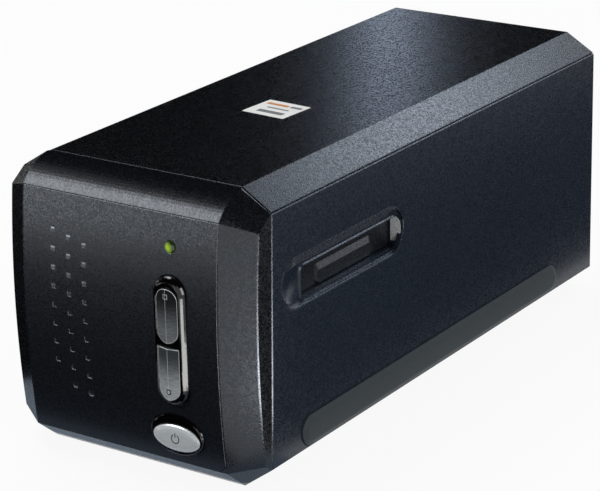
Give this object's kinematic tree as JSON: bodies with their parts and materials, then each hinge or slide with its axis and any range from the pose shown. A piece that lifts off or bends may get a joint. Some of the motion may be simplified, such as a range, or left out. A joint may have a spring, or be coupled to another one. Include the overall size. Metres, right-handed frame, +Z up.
{
  "type": "film negative scanner",
  "caption": "Desktop film scanner: long box with a curved front, sloped edges, side film slots with dust doors, scan and power buttons, and an inner scan sled on rods.",
  "frame": {"origin": "centre of the bounding box's bottom face, on the plane that the feet stand on", "axes": "+Z up; the front with the buttons faces -Y; +X is to the right of someone facing the front"},
  "size_m": [0.12, 0.275, 0.119],
  "materials": {
    "casing": "fine grained black moulded plastic",
    "inlay": "fine grained near-black moulded plastic",
    "gloss_black": "polished black",
    "smoke_key": "satin dark grey",
    "silver_key": "satin silver paint",
    "light_lens": "clear green",
    "door": "satin dark grey",
    "strip": "matt dark grey",
    "foot": "matt",
    "steel": "ground",
    "zinc": "zinc plated",
    "frame_plastic": "glass-filled plastic",
    "bronze": "sintered",
    "brass": "turned",
    "nut_plastic": "natural acetal",
    "board": "green solder mask",
    "chip": "moulded",
    "lamp_white": "white solder mask",
    "diffuser": "opal",
    "mirror": "front silvered",
    "anodised": "black anodised",
    "motor": "zinc plated",
    "glass": "coated",
    "socket": "moulded"
  },
  "bodies": {
    "housing": {"top_cover": "casing", "lower_case": "casing", "front_bezel": "casing", "front_panel": "inlay", "rear_panel": "casing", "button_surround": "gloss_black", "power_button_ring": "gloss_black", "status_led": "light_lens", "button_board": "board", "tact_switches": "chip", "button_board_screws": "zinc", "right_slot_frame": "casing", "left_slot_frame": "casing", "right_door_pin": "steel", "left_door_pin": "steel", "door_springs": "steel", "lower_film_guide": "frame_plastic", "upper_film_guide": "frame_plastic", "guide_posts": "zinc", "guide_screws": "zinc", "chassis_plate": "zinc", "chassis_screws": "zinc", "front_rod_block": "frame_plastic", "rear_rod_block": "frame_plastic", "guide_rods": "steel", "screw_bushes": "bronze", "motor_bracket": "zinc", "stepper_motor": "motor", "main_board": "board", "board_parts": "chip", "board_screws": "zinc", "power_inlet": "socket", "usb_port": "zinc", "right_side_strip": "strip", "left_side_strip": "strip", "feet": "foot", "cover_screws": "zinc", "rear_screws": "zinc"},
    "upper_scan": {"upper_scan_button": "smoke_key"},
    "lower_scan": {"lower_scan_button": "silver_key"},
    "power": {"power_button": "silver_key"},
    "right_door": {"right_dust_door": "door"},
    "left_door": {"left_dust_door": "door"},
    "scan_sled": {"sled": "frame_plastic", "drive_nut": "nut_plastic", "lamp_housing": "frame_plastic", "lamp_board": "lamp_white", "lamp_diffuser": "diffuser", "fold_mirror": "mirror", "lens_barrel": "anodised", "lens_glass": "glass", "lens_clamp": "frame_plastic", "sensor_board": "board", "line_sensor": "chip"},
    "screw": {"lead_screw": "steel", "shaft_coupler": "brass"}
  },
  "joints": [
    {"name": "upper_scan_press", "type": "slide", "parent": "housing", "child": "upper_scan", "axis": [0, 1, 0], "range_m": [0, 0.001], "stiffness_N_per_m": 500, "springref_m": -0.0006},
    {"name": "lower_scan_press", "type": "slide", "parent": "housing", "child": "lower_scan", "axis": [0, 1, 0], "range_m": [0, 0.001], "stiffness_N_per_m": 500, "springref_m": -0.0006},
    {"name": "power_press", "type": "slide", "parent": "housing", "child": "power", "axis": [0, 1, 0], "range_m": [0, 0.001], "stiffness_N_per_m": 500, "springref_m": -0.0006},
    {"name": "right_door_hinge", "type": "hinge", "parent": "housing", "child": "right_door", "pos_m": [0.04995, -0.0604, 0.0681], "axis": [0, -1, 0], "range_deg": [0, 88], "stiffness_Nm_per_rad": 0.002, "springref_deg": -20.05},
    {"name": "left_door_hinge", "type": "hinge", "parent": "housing", "child": "left_door", "pos_m": [-0.04995, -0.0604, 0.0681], "axis": [0, 1, 0], "range_deg": [0, 88], "stiffness_Nm_per_rad": 0.002, "springref_deg": -20.05},
    {"name": "sled_slide", "type": "slide", "parent": "housing", "child": "scan_sled", "axis": [0, -1, 0], "range_m": [0, 0.0254]},
    {"name": "screw_turn", "type": "hinge", "parent": "housing", "child": "screw", "pos_m": [0, 0, 0.0218], "axis": [0, 1, 0], "range_deg": [0, 2300]}
  ],
  "couplings": [
    {"joint": "screw_turn", "follows": "sled_slide", "rad_per_m": 1570.8}
  ]
}
